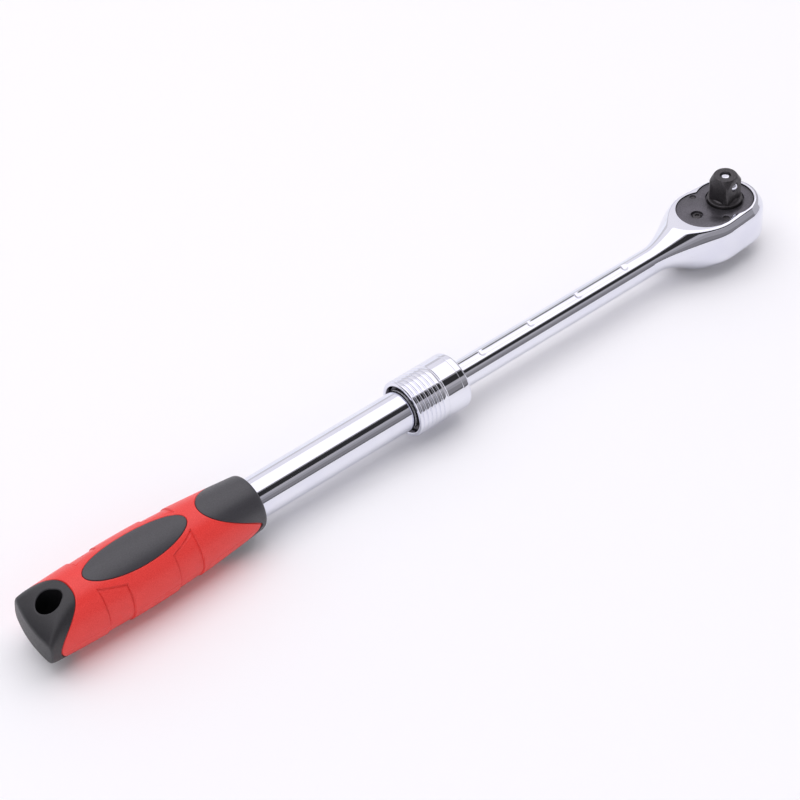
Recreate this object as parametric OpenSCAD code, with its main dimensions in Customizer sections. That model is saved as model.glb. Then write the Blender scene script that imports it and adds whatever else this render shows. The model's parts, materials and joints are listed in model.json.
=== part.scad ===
// Extendable quick-release ratchet handle with a square drive.
// Origin: centre of the drive's shoulder. +Z leaves the head along the drive, +X runs to the grip.

/* [Square drive] */
// Width across the flats of the square drive
drive_flats = 12.7; // [12.6:0.05:12.8]
// Radius over the rounded corners of the square
drive_corner_r = 8.35; // [8.2:0.05:8.6]
// Height of the square above its shoulder
drive_height = 14.1; // [13:0.1:16]
// Direction that the detent ball faces, from the handle line
ball_heading = 97.5; // [0:0.5:180]
// Radius of the round hub under the square
hub_r = 9.4; // [9:0.1:9.8]

/* [Ratchet head] */
// Distance from the drive's shoulder down to the handle line
handle_drop = 13.7; // [13.2:0.1:15]
// Half of the head's width
head_r = 20.7; // [20.5:0.1:22]
// Half of the head's thickness
head_half = 12.8; // [12.6:0.1:13.5]
// Where the neck ends in the round rod
neck_end = 55; // [50:1:60]
// Radius of both lobes of the cover plate
plate_r = 15.3; // [15:0.1:15.8]
// Distance between the two lobes of the cover plate
lobe_gap = 14.7; // [14:0.1:15]
// Number of gear teeth
gear_teeth = 72; // [72:72:72]

/* [Rod and lock] */
// Radius of the rod
rod_r = 7.4; // [7.2:0.05:7.6]
// Distance between lock dimples
lock_pitch = 33; // [30:0.5:33.5]
// Number of lock dimples
lock_count = 5; // [3:1:5]
// Where the lock ball stands with the handle drawn out
lock_x = 206.75; // [206:0.25:207]
// Turn of the dimple row about the handle line
lock_turn = 8; // [0:1:12]
// Travel of the locking collar
collar_travel = 6; // [5:0.5:6]

/* [Tube and collar] */
// Outer radius of the tube
tube_r = 10.8; // [10.7:0.05:11]
// Inner radius of the tube
tube_bore_r = 8.8; // [8.7:0.05:9]
// Where the tube and the collar's mouth begin
mouth_x = 226.3; // [226:0.1:226.6]
// Outer radius of the collar
collar_r = 15.3; // [15:0.1:16]

/* [Grip] */
// Front end of the grip
grip_front = 322.5; // [320:0.5:325]
// Tail end of the grip
grip_tail = 451; // [450:0.5:454]
// Radius at the front of the grip
grip_front_r = 14.5; // [14:0.1:15]
// Radius at the thickest place
grip_mid_r = 19.2; // [18.6:0.1:20]
// Turn of the grip about the handle line
grip_turn = 12; // [0:1:15]

/* [Hidden] */
$fn = 64;
eps = 0.01;
big = 60;

// Heights in the head are measured from the handle line.
plate_top = head_half - 0.35;
plate_bottom = head_half - 2.4;
plate_gap = 0.35;
hub_clearance = 0.05;
hub_recess_r = hub_r + 0.85;
hub_recess_depth = 1.5;
upper_bevel = [3.3, 4.6];
lower_bevel = [4.7, 4.8];
neck_start = 13.5;
head_end_x = -1.6;
head_end_r = 19.5;
shoulder_r = 22.5;

// Gear and its bearing in the head
gear_tip_r = 11.5;
gear_root_r = 11;
gear_bore_r = 11.9;
gear_bottom = -2.5;
gear_top = plate_bottom - 0.4;
pocket_floor = gear_bottom - 0.3;
journal_r = 8;
journal_bottom = -head_half + 1.4;
tooth_tip_half = 0.35;
// The pawl stands this far back, so its teeth clear the gear at every turn of the drive.
mesh_clearance = gear_tip_r - gear_root_r + 0.15;

// Pawl, which rocks on its pin to face the gear at one end or the other
mesh_angle = 35;
pawl_x = (gear_tip_r + gear_root_r) / 2 / cos(mesh_angle);
pawl_tilt = 2.8;
pawl_pin_r = 1.4;
pawl_back_x = 16.7;
pawl_pocket_x = 17.4;
pawl_pocket_half = 9.9;

// Reversing lever and its spring-loaded ball
selector_x = 21.4;
selector_r = 3.45;
selector_top = 3.3;
selector_tilt = 22;
selector_ball_r = 1.4;
selector_ball_reach = 3;
selector_ball_z = 0.5;
lever_top = -head_half - 0.3;
lever_thickness = 3.6;

// Screw and pins of the cover plate
screw_x = 20.7;
screw_head_r = 2.6;
screw_recess_r = 3.3;
screw_recess_depth = 1.45;
screw_head_height = 1;
screw_r = 1.75;
pin_r = 1.5;
pin_gap = 0.2;
pin_x = 11.4;
pin_y = 12.4;
pin_bottom = 5;

// Quick release inside the drive
release_travel = 3;
release_r = 2.4;
release_bore_r = release_r + 0.05;
release_tip_gap = 0.8;
ball_r = 2.75;
ball_height = 8.6;
ball_reach = drive_flats / 2 + 0.9 - ball_r;
button_r = 5;
button_flange_r = 6;
button_bore_r = button_flange_r + 0.08;
button_end = -head_half - 3.6;
button_flange_bottom = -9.8;
button_flange_top = -8.4;
button_bore_top = -1;
ring_z = -10.9;

// Lock of the telescoping joint
lock_ball_r = 2.25;
lock_ball_low = rod_r - 0.45;
lock_ball_lift = 0.9;
groove_depth = 0.5;
groove_half = 1.7;
dimple_r = 3.2;
dimple_depth = 0.95;
sleeve_r = 10.2;
sleeve_front = 191.8;
sleeve_back = 246;
sleeve_step_x = 223.3;
collar_front = 193;
rod_end = 247;
bush_end = 257;
tube_end = 424;

// Grip stations
grip_mid = 395;
grip_tail_r = 17.4;
grip_taper_end = 451.5;
cuff_reach = 28.9;
cuff_half = 15;
cuff_x = 325;
pad_x = 390.8;
pad_reach = 29.4;
pad_half = 10.1;
pad_depth = 2.2;
panel_near = 13.2;
panel_far = 27.6;
panel_near_top = 14.4;
panel_far_top = 17;
panel_depth = 0.65;
cap_edge_x = 428;
cap_edge_bow = 18;
hole_centre = [439.1, -1];
hole_r = 5.8;
hole_nose_r = 3.9;
hole_nose_reach = 2.9;
hole_lean = -7;

// The tail is turned about an upright axis: a curved end face under sloping shoulders.
tail_curve_r = 66.5;
tail_centre = [grip_tail - tail_curve_r, 6.2];
tail_face_half = 6.6;
tail_slope_run = 27;
tail_slope_top = 18.65;
core_r = 12.6;
core_end = 427;

chrome = "#dfe2ec";
black_oxide = "#3a393c";
red = "#d8433c";
soft_black = "#46444b";

// Moves children from the handle line's frame to the part's frame, turned about the handle line.
module on_handle(turn = 0) {
    translate([0, 0, -handle_drop]) rotate([-turn, 0, 0]) children();
}

// Revolves an outline of [distance along the handle, radius] points about the handle line.
module turned(points) {
    rotate([0, 90, 0]) rotate_extrude() polygon([for (p = points) [p[1], p[0]]]);
}

// A plain round bar between two stations of the handle line.
module bar(x0, x1, r) {
    translate([x0, 0, 0]) rotate([0, 90, 0]) cylinder(h = x1 - x0, r = r);
}

// An upright cylinder between two heights.
module post(x, y, z0, z1, r) {
    translate([x, y, z0]) cylinder(h = z1 - z0, r = r);
}

// A round ring of rectangular section about the handle line.
module collar_ring(x0, x1, r_in, r_out) {
    difference() {
        bar(x0, x1, r_out);
        bar(x0 - 1, x1 + 1, r_in);
    }
}

// Smooth step from 1 at a to 0 at b.
function ease(x, a, b) = 0.5 + 0.5 * cos(180 * min(1, max(0, (x - a) / (b - a))));

// Evenly spaced stations from a to b.
function steps(a, b, n) = [for (i = [0:n]) a + (b - a) * i / n];

// A closed coil of round wire about +Z, drawn as one tube.
module coil(height, radius, wire, turns) {
    sides = 8;
    rings = ceil(turns * 18);
    point = [for (i = [0:rings]) for (k = [0:sides - 1])
        let (a = 360 * turns * i / rings, b = 360 * k / sides, r = radius + wire * cos(b))
        [r * cos(a), r * sin(a), wire + (height - 2 * wire) * i / rings + wire * sin(b)]];
    wall = [for (i = [0:rings - 1]) for (k = [0:sides - 1])
        let (j = (k + 1) % sides)
        [i * sides + k, (i + 1) * sides + k, (i + 1) * sides + j, i * sides + j]];
    first = [for (k = [0:sides - 1]) k];
    last = [for (k = [sides - 1:-1:0]) rings * sides + k];
    polyhedron(points = point, faces = concat([first], wall, [last]), convexity = 10);
}

// ---- Ratchet head -------------------------------------------------------------------------------

function neck_half_width(x) = x < neck_start
    ? head_end_r + (head_r - head_end_r) * sin(90 * (x - head_end_x) / (neck_start - head_end_x))
    : rod_r + (head_r - rod_r) * ease(x, neck_start, neck_end);
function neck_flare_r(x) = rod_r + (shoulder_r - rod_r) * ease(x, neck_start, neck_end);

// Right half of the head's section: flat top and bottom with bevelled edges.
function head_section(r) = [[0, -head_half], [r - lower_bevel[0], -head_half], [r, lower_bevel[1] - head_half],
    [r, head_half - upper_bevel[1]], [r - upper_bevel[0], head_half], [0, head_half]];

module neck() {
    stations = steps(head_end_x, neck_end, 24);
    back = [for (i = [len(stations) - 1:-1:0]) stations[i]];
    intersection() {
        translate([0, 0, -big / 2]) linear_extrude(big)
            polygon(concat([for (x = stations) [x, neck_half_width(x)]],
                           [for (x = back) [x, -neck_half_width(x)]]));
        translate([head_end_x, 0, 0]) rotate([90, 0, 90]) linear_extrude(neck_end - head_end_x) {
            polygon(head_section(head_r));
            mirror([1, 0]) polygon(head_section(head_r));
        }
        turned(concat([[head_end_x, 0]], [for (x = stations) [x, neck_flare_r(x)]], [[neck_end, 0]]));
    }
}

module head_disc() {
    translate([head_end_x, 0, 0]) rotate_extrude($fn = 128) polygon(head_section(head_end_r));
}

module two_lobes(r, z0, z1) {
    for (x = [0, lobe_gap]) post(x, 0, z0, z1, r);
}

module pawl_pocket() {
    translate([0, -pawl_pocket_half, pocket_floor])
        cube([pawl_pocket_x, 2 * pawl_pocket_half, plate_bottom - pocket_floor + eps]);
    translate([pawl_x, -3, selector_ball_z - 1.8]) cube([selector_x - pawl_x, 6, 3.6]);
}

module head_cuts() {
    two_lobes(plate_r + plate_gap, plate_bottom, head_half + 1);
    post(0, 0, pocket_floor, head_half, gear_bore_r);
    post(0, 0, -head_half - 1, head_half, journal_r + hub_clearance);
    pawl_pocket();
    post(selector_x, 0, -head_half - 1, selector_top + 0.3, selector_r + 0.05);
    translate([selector_x, 0, -head_half + 2]) rotate_extrude() translate([selector_r + 0.05, 0]) circle(0.62);
    post(screw_x, 0, selector_top + 1.2, head_half, screw_r);
    for (side = [-1, 1]) post(pin_x, side * pin_y, pin_bottom, head_half, pin_r);
    post(pawl_x, 0, -7, 0, pawl_pin_r);
}

module rod_cuts() {
    last = lock_x - lock_pitch * (lock_count - 1);
    rotate([-lock_turn, 0, 0]) {
        translate([last, -groove_half, rod_r - groove_depth]) cube([lock_x + 5 - last, 2 * groove_half, 5]);
        for (i = [0:lock_count - 1])
            translate([lock_x - lock_pitch * i, 0, rod_r - dimple_depth + dimple_r]) sphere(dimple_r);
    }
    bar(bush_end - 17, bush_end + 1, 3);
}

module head_and_rod() {
    color(chrome) on_handle() difference() {
        union() {
            head_disc();
            neck();
            bar(neck_end - eps, rod_end, rod_r);
            bar(rod_end - eps, bush_end, 5);
        }
        head_cuts();
        rod_cuts();
    }
}

module cover_plate() {
    color(black_oxide) on_handle() difference() {
        two_lobes(plate_r, plate_bottom, plate_top);
        post(0, 0, 0, big, hub_r + hub_clearance);
        post(0, 0, plate_top - hub_recess_depth, big, hub_recess_r);
        post(screw_x, 0, 0, big, screw_r + 0.2);
        post(screw_x, 0, plate_top - screw_recess_depth, big, screw_recess_r);
        for (side = [-1, 1]) post(pin_x, side * pin_y, 0, big, pin_r + pin_gap);
    }
}

module cover_screw() {
    head_bottom = plate_top - screw_recess_depth;
    color(black_oxide) on_handle() translate([screw_x, 0, 0]) difference() {
        union() {
            post(0, 0, selector_top + 1.2, head_bottom + eps, screw_r);
            translate([0, 0, head_bottom]) rotate_extrude() polygon([[0, 0], [screw_head_r, 0],
                [screw_head_r, screw_head_height - 0.55], [screw_head_r - 0.5, screw_head_height - 0.15],
                [screw_head_r - 1.1, screw_head_height], [0, screw_head_height]]);
        }
        for (a = [0:60:120]) translate([0, 0, head_bottom + 0.3]) rotate([0, 0, a])
            translate([-1.35, -0.45, 0]) cube([2.7, 0.9, 2]);
    }
}

module plate_pins() {
    color(black_oxide) on_handle() for (side = [-1, 1])
        post(pin_x, side * pin_y, pin_bottom, plate_top - 0.35, pin_r);
}

module pawl_pin() {
    color("silver") on_handle() post(pawl_x, 0, -7, plate_bottom, pawl_pin_r);
}

module selector_snap_ring() {
    color("dimgray") on_handle() translate([selector_x, 0, -head_half + 2]) difference() {
        rotate_extrude() translate([selector_r + 0.12, 0]) circle(0.5);
        translate([0, -0.6, -2]) cube([9, 1.2, 4]);
    }
}

// ---- Drive and quick release --------------------------------------------------------------------

// Outline of the gear; clearance grows it into the cutter that shapes the pawl's teeth.
module gear_outline(clearance = 0) {
    pitch = 360 / gear_teeth;
    wider = clearance > 0 ? 0.4 : 0;
    root_half = clearance > 0 ? 0.05 : tooth_tip_half;
    polygon([for (i = [0:gear_teeth - 1]) for (p = [
            [-tooth_tip_half - wider, gear_tip_r], [tooth_tip_half + wider, gear_tip_r],
            [pitch / 2 - root_half, gear_root_r], [pitch / 2 + root_half, gear_root_r]])
        let (a = i * pitch + p[0], r = p[1] + clearance) [r * cos(a), r * sin(a)]]);
}

module drive_square() {
    tip_r = drive_flats / 2 - 0.25;
    shoulder_r = drive_flats / 2 + 0.7;
    intersection() {
        rotate([0, 0, ball_heading]) translate([-drive_flats / 2, -drive_flats / 2, handle_drop - 1])
            cube([drive_flats, drive_flats, drive_height + 1]);
        translate([0, 0, handle_drop]) rotate_extrude($fn = 96) polygon([[0, -1], [drive_corner_r, -1],
            [drive_corner_r, drive_height - 3.2], [tip_r, drive_height], [0, drive_height]]);
    }
    // short flare where the square meets the hub
    translate([0, 0, handle_drop - eps]) rotate_extrude() polygon([[0, 0], [shoulder_r, 0], [tip_r, 0.9], [0, 0.9]]);
}

module drive_gear() {
    color(black_oxide) on_handle() difference() {
        union() {
            drive_square();
            translate([0, 0, gear_top - eps]) rotate_extrude() polygon([[0, 0], [hub_r, 0],
                [hub_r, handle_drop - gear_top - 0.3], [hub_r - 0.3, handle_drop - gear_top], [0, handle_drop - gear_top]]);
            translate([0, 0, gear_bottom]) linear_extrude(gear_top - gear_bottom) gear_outline();
            post(0, 0, journal_bottom, gear_bottom + eps, journal_r);
        }
        post(0, 0, -big, big, release_bore_r);
        post(0, 0, handle_drop + drive_height - 1.6, big, release_r + 0.5);
        post(0, 0, -big, button_bore_top, button_bore_r);
        post(0, 0, ring_z, ring_z + 0.9, button_bore_r + 0.7);
        rotate([0, 0, ball_heading]) translate([0, 0, handle_drop + ball_height]) rotate([0, 90, 0]) {
            cylinder(h = drive_flats / 2 - 0.3, r = ball_r + 0.05);
            cylinder(h = drive_flats, r = 2.38);
        }
    }
}

module detent_ball() {
    color(chrome) on_handle() rotate([0, 0, ball_heading])
        translate([ball_reach, 0, handle_drop + ball_height]) sphere(ball_r);
}

module release_rod() {
    z = handle_drop + ball_height;
    tip = handle_drop + drive_height - release_tip_gap;
    color(chrome) on_handle() rotate_extrude() polygon([[0, button_end + 1.2], [release_r, button_end + 1.2],
        [release_r, z - 5.6], [0.9, z - 5.2], [0.9, z - 1], [1.6, z - 0.2], [1.6, z + 1.6],
        [release_r, z + 2.1], [release_r, tip - 0.4], [release_r - 0.5, tip], [0, tip]]);
}

module release_button() {
    color("#55555a") on_handle() difference() {
        rotate_extrude() polygon([[0, button_end + 0.5], [2.4, button_end + 0.5], [3.2, button_end],
            [button_r - 0.6, button_end], [button_r, button_end + 0.6], [button_r, button_flange_bottom],
            [button_flange_r, button_flange_bottom], [button_flange_r, button_flange_top], [0, button_flange_top]]);
        post(0, 0, button_end + 1.2, big, release_r);
    }
}

module release_retaining_ring() {
    color("dimgray") on_handle() difference() {
        post(0, 0, ring_z + 0.1, ring_z + 0.8, button_bore_r + 0.6);
        post(0, 0, -big, big, button_r + 0.3);
        translate([0, -1.5, -big]) cube([big, 3, big]);
    }
}

module release_spring() {
    color("silver") on_handle() translate([0, 0, button_flange_top + 0.05])
        coil(button_bore_top - button_flange_top - 0.1, 4.2, 0.35, 4);
}

// ---- Pawl and reversing lever -------------------------------------------------------------------

module pawl_outline() {
    tip = [7.6, 8.2];
    horn = [9.2, 9.4];
    shoulder = [13.5, 8.6];
    back = [pawl_back_x, 3];
    difference() {
        polygon([tip, horn, shoulder, back, [back[0], -back[1]], [shoulder[0], -shoulder[1]],
            [horn[0], -horn[1]], [tip[0], -tip[1]], [gear_root_r - 0.4, 0]]);
        for (side = [-1, 1]) translate([pawl_x, 0]) rotate(side * pawl_tilt) translate([-pawl_x, 0])
            gear_outline(mesh_clearance);
        intersection() {
            circle(gear_tip_r + 0.55);
            polygon([[0, 0], [14, -6.5], [14, 6.5]]);
        }
        translate([pawl_x, 0]) circle(pawl_pin_r + 0.05);
    }
}

module pawl() {
    color("silver") on_handle() translate([pawl_x, 0, gear_bottom + 0.2]) rotate([0, 0, pawl_tilt])
        translate([-pawl_x, 0, 0]) linear_extrude(gear_top - gear_bottom - 0.4) pawl_outline();
}

// Places children on the reversing lever's axis, at its resting turn.
module on_selector() {
    on_handle() translate([selector_x, 0, 0]) rotate([0, 0, -selector_tilt]) children();
}

module reversing_lever() {
    bottom = lever_top - lever_thickness;
    color("#55555a") on_selector() difference() {
        union() {
            post(0, 0, lever_top - eps, selector_top, selector_r);
            post(0, 0, bottom, lever_top, 6);
            translate([0, 0, bottom]) linear_extrude(lever_thickness)
                polygon([[0, -5.6], [9, -4.2], [11.6, -3], [12.4, -1.2], [12.4, 1.2], [11.6, 3], [9, 4.2], [0, 5.6]]);
        }
        translate([0, 0, -head_half + 2]) rotate_extrude() translate([selector_r + 0.12, 0]) circle(0.8);
        translate([-big, 0, selector_ball_z]) rotate([0, 90, 0]) cylinder(h = big + 2.2, r = selector_ball_r + 0.05);
        for (x = [5.5:1.8:10.9]) translate([x, 0, bottom]) rotate([90, 0, 0])
            translate([0, 0, -10]) cylinder(h = 20, r = 0.5);
    }
}

module selector_ball() {
    color(chrome) on_selector() translate([-selector_ball_reach, 0, selector_ball_z]) sphere(selector_ball_r);
}

module selector_spring() {
    length = selector_ball_reach - selector_ball_r + 2.1;
    color("silver") on_selector() translate([2.15, 0, selector_ball_z]) rotate([0, -90, 0])
        coil(length, 0.95, 0.2, 4);
}

// ---- Telescoping joint --------------------------------------------------------------------------

module rod_end_bush() {
    color("#c9a25a") on_handle() collar_ring(rod_end, bush_end, 5, tube_bore_r - 0.08);
}

module rod_end_screw() {
    color("dimgray") on_handle() difference() {
        union() {
            bar(bush_end - 17, bush_end + eps, 3);
            bar(bush_end, bush_end + 3, 7);
        }
        translate([bush_end + 1, 0, 0]) rotate([0, 90, 0]) cylinder(h = 9, r = 2.6, $fn = 6);
    }
}

module lock_sleeve() {
    color(chrome) on_handle() difference() {
        union() {
            turned([[sleeve_front, 0], [sleeve_front, sleeve_r - 0.6], [sleeve_front + 0.6, sleeve_r],
                [sleeve_step_x, sleeve_r], [sleeve_step_x, tube_r - 0.1], [mouth_x, tube_r - 0.1], [mouth_x, 0]]);
            bar(mouth_x - eps, sleeve_back, tube_bore_r);
        }
        bar(0, big * 5, rod_r + 0.08);
        collar_ring(collar_front + 0.6, collar_front + 1.9, sleeve_r - 0.7, big);
        rotate([-lock_turn, 0, 0]) post(lock_x, 0, 0, big, lock_ball_r + 0.05);
    }
}

module lock_ball() {
    color("silver") on_handle(lock_turn) translate([lock_x, 0, lock_ball_low + lock_ball_r]) sphere(lock_ball_r);
}

module collar_circlip() {
    color("dimgray") on_handle(lock_turn) difference() {
        collar_ring(collar_front + 0.7, collar_front + 1.8, sleeve_r - 0.65, sleeve_r + 1.5);
        translate([0, -2, -big]) cube([big * 5, 4, big]);
    }
}

module spring_washer() {
    color(black_oxide) on_handle() collar_ring(sleeve_step_x - 0.8, sleeve_step_x, sleeve_r, 12.5);
}

module collar_spring() {
    start = collar_front + 19.05;
    color("silver") on_handle() translate([start, 0, 0]) rotate([0, 90, 0])
        coil(sleeve_step_x - 0.85 - start, 11.45, 0.45, 3.5);
}

// One rib groove of the collar, as points from the mouth side to the far side.
function rib_groove(x, r) = [[x + 0.75, r], [x + 0.5, r - 0.16], [x + 0.22, r - 0.62], [x - 0.22, r - 0.62],
    [x - 0.5, r - 0.16], [x - 0.75, r]];

module locking_collar() {
    guide_r = sleeve_r + 0.07;
    land_r = lock_ball_low + 2 * lock_ball_r + 0.15;
    rise = lock_ball_lift / collar_travel;
    rib_r = collar_r - 0.05;
    outside = concat([[mouth_x, collar_r - 1.9], [mouth_x, collar_r - 0.9], [mouth_x - 0.3, collar_r - 0.35],
        [mouth_x - 0.85, rib_r]],
        [for (i = [0:5]) each rib_groove(mouth_x - 1.9 - 2.66 * i, rib_r)],
        [[lock_x + 1.2, rib_r], [lock_x + 0.95, rib_r - 0.35], [lock_x + 0.55, rib_r - 0.35],
        [lock_x + 0.3, collar_r], [collar_front + 4.6, collar_r], [collar_front + 4.4, collar_r - 0.2],
        [collar_front + 4, collar_r - 0.2], [collar_front + 3.8, collar_r - 0.02],
        [collar_front + 1.6, collar_r - 0.02], [collar_front + 1, collar_r - 0.15],
        [collar_front + 0.5, collar_r - 0.48], [collar_front + 0.13, collar_r - 1],
        [collar_front, collar_r - 1.6]]);
    inside = [[collar_front, 12.2], [collar_front + 2.1, 12.2], [collar_front + 2.1, guide_r],
        [collar_front + 4.2, guide_r], [collar_front + 4.2, land_r + rise * (collar_travel + 0.8)],
        [lock_x - collar_travel - 0.8, land_r + rise * (collar_travel + 0.8)], [lock_x, land_r],
        [lock_x + 3.9, land_r], [lock_x + 3.9, guide_r], [collar_front + 19, guide_r],
        [collar_front + 19, 12.95], [mouth_x - 0.5, 12.95]];
    color(chrome) on_handle() turned(concat(outside, inside));
}

module outer_tube() {
    color(chrome) on_handle() turned([[mouth_x, tube_bore_r], [mouth_x, tube_r - 0.7],
        [mouth_x + 0.7, tube_r], [tube_end, tube_r], [tube_end, tube_bore_r]]);
}

module tube_end_plug() {
    color(soft_black) on_handle() bar(tube_end - 16, tube_end, tube_bore_r);
}

// ---- Grip ---------------------------------------------------------------------------------------

function grip_radius(x) = x < grip_mid
    ? grip_front_r + (grip_mid_r - grip_front_r) * sin(90 * (x - grip_front) / (grip_mid - grip_front))
    : grip_mid_r - (grip_mid_r - grip_tail_r) * (1 - cos(90 * (x - grip_mid) / (grip_taper_end - grip_mid)));

// The whole grip as one turned solid, shrunk by a depth.
module grip_shape(depth = 0) {
    front = [[grip_front, 0], [grip_front, grip_front_r - 1.8 - depth], [grip_front + 0.5, grip_front_r - 0.7 - depth]];
    sides = [for (x = steps(grip_front + 2, grip_tail, 24)) [x, grip_radius(x) - depth]];
    turned(concat(front, sides, [[grip_tail, 0]]));
}

// Cuts an outline drawn in the plan of the grip right through it.
module through_plan() {
    translate([0, 0, -big / 2]) linear_extrude(big) children();
}

module ellipse(x, reach, half) {
    polygon([for (a = [0:7.5:352.5]) [x + reach * cos(a), half * sin(a)]]);
}

// Everything behind the bowed edge between the red body and the end cap, in plan.
module tail_region(shift = 0) {
    polygon(concat([for (t = steps(-1.06, 1.06, 20))
        [cap_edge_x + shift + cap_edge_bow * pow(abs(t), 2.6), 18.3 * t]],
        [[grip_tail + 5, 22], [grip_tail + 5, -22]]));
}

// The raised-edge side panels, as cutters that leave their floor at a constant depth.
module side_panels() {
    difference() {
        rotate([90, 0, 0]) translate([0, 0, -big / 2]) linear_extrude(big) for (dir = [-1, 1])
            polygon([[pad_x + dir * panel_near, -panel_near_top], [pad_x + dir * panel_far, -panel_far_top],
                [pad_x + dir * panel_far, panel_far_top], [pad_x + dir * panel_near, panel_near_top]]);
        grip_shape(panel_depth);
    }
}

module grip_core() {
    color(soft_black) on_handle(grip_turn) difference() {
        bar(grip_front + 2, core_end, core_r);
        bar(grip_front, tube_end, tube_r);
    }
}

module grip_body() {
    color(red) on_handle(grip_turn) difference() {
        grip_shape();
        bar(0, core_end, core_r);
        through_plan() tail_region();
        difference() {
            through_plan() ellipse(cuff_x, cuff_reach, cuff_half);
            bar(grip_front + 4, grip_tail, core_r + 0.6);
        }
        difference() {
            through_plan() ellipse(pad_x, pad_reach, pad_half);
            grip_shape(pad_depth);
        }
        side_panels();
    }
}

module front_cuff() {
    color(soft_black) on_handle(grip_turn) difference() {
        intersection() {
            grip_shape();
            through_plan() ellipse(cuff_x, cuff_reach - 0.15, cuff_half - 0.15);
        }
        bar(0, grip_front + 2, tube_r);
        bar(grip_front + 2, grip_front + 4, core_r);
        bar(grip_front + 4, grip_tail, core_r + 0.6);
    }
}

module oval_pad(side) {
    color(soft_black) on_handle(grip_turn) intersection() {
        through_plan() ellipse(pad_x, pad_reach - 0.15, pad_half - 0.15);
        difference() {
            grip_shape(-0.1);
            grip_shape(pad_depth);
        }
        translate([0, -big / 2, side > 0 ? 0 : -big]) cube([grip_tail + big, big, big]);
    }
}

module upper_oval_pad() {
    oval_pad(1);
}

module lower_oval_pad() {
    oval_pad(-1);
}

// Outline of the hang hole: a wide arc towards the tail and a small arc towards the front.
module hole_outline() {
    lean = acos((hole_r - hole_nose_r) / hole_nose_reach);
    wide = [for (a = steps(lean - 180, 180 - lean, 24)) [hole_r * cos(a), hole_r * sin(a)]];
    nose = [for (a = steps(180 - lean, 180 + lean, 12))
        [hole_nose_r * cos(a) - hole_nose_reach, hole_nose_r * sin(a)]];
    translate(hole_centre) rotate(hole_lean) polygon(concat(wide, nose));
}

// The tail as turned about its upright axis: slopes above and below a narrow end face.
module tail_form() {
    drop = tail_slope_top - tail_face_half;
    slope_r = (tail_slope_run * tail_slope_run + drop * drop) / (2 * drop);
    sweep = asin(tail_slope_run / slope_r);
    start = tail_curve_r - tail_slope_run;
    upper = [for (a = steps(0, sweep, 10)) [start + slope_r * sin(a), tail_slope_top - slope_r * (1 - cos(a))]];
    lower = [for (i = [len(upper) - 1:-1:0]) [upper[i][0], -upper[i][1]]];
    translate([tail_centre[0], tail_centre[1], 0]) rotate_extrude($fn = 128)
        polygon(concat([[0, -tail_slope_top], [0, tail_slope_top]], upper, lower));
}

module end_cap() {
    color(soft_black) on_handle(grip_turn) difference() {
        intersection() {
            grip_shape();
            through_plan() tail_region(0.15);
            tail_form();
        }
        through_plan() hole_outline();
        bar(0, core_end, core_r);
    }
}

head_and_rod();
cover_plate();
cover_screw();
plate_pins();
pawl_pin();
selector_snap_ring();
rod_end_bush();
rod_end_screw();
drive_gear();
release_retaining_ring();
release_spring();
release_rod();
release_button();
detent_ball();
pawl();
reversing_lever();
selector_spring();
selector_ball();
outer_tube();
lock_sleeve();
collar_circlip();
spring_washer();
collar_spring();
locking_collar();
lock_ball();
tube_end_plug();
grip_core();
grip_body();
front_cuff();
upper_oval_pad();
lower_oval_pad();
end_cap();
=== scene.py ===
import json
import math

import bmesh
import bpy
import numpy as np
from mathutils import Matrix, Vector


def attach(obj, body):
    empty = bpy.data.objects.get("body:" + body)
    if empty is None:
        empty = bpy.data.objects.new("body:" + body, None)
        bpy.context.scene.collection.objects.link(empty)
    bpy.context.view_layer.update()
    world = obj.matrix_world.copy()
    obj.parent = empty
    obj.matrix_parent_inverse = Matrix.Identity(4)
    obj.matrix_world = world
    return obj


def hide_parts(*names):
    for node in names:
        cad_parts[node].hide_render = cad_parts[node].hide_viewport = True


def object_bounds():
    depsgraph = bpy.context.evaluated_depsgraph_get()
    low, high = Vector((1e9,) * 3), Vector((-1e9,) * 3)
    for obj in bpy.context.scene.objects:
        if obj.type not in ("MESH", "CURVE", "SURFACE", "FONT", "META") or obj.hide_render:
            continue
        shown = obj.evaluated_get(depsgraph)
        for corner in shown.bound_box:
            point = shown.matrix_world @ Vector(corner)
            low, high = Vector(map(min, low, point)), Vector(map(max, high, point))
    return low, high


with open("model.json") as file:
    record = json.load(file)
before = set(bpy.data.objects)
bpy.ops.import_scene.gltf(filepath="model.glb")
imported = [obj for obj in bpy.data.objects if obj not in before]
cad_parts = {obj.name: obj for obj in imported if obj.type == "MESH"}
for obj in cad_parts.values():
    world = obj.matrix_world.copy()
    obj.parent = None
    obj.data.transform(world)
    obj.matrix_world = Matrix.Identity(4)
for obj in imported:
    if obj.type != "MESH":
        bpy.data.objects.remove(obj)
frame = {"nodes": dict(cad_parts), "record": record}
cad_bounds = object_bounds()

# Lengths below are in millimetres and shapes are drawn about the handle line, then moved into the frame.
MM = 0.001
HANDLE_DROP = 13.7

# How often each search halves its range, and how far a search along a ray may reach
CAST_HALVINGS = 34
EDGE_HALVINGS = 40
NEAR_SEARCH = 30
FAR_SEARCH = 40

# Head, neck and rod
HEAD_R = 20.7
HEAD_WIDE_X = 14
HEAD_END_R = 19.5
HEAD_END_X = -1.6
HEAD_HALF = 12.8
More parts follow.
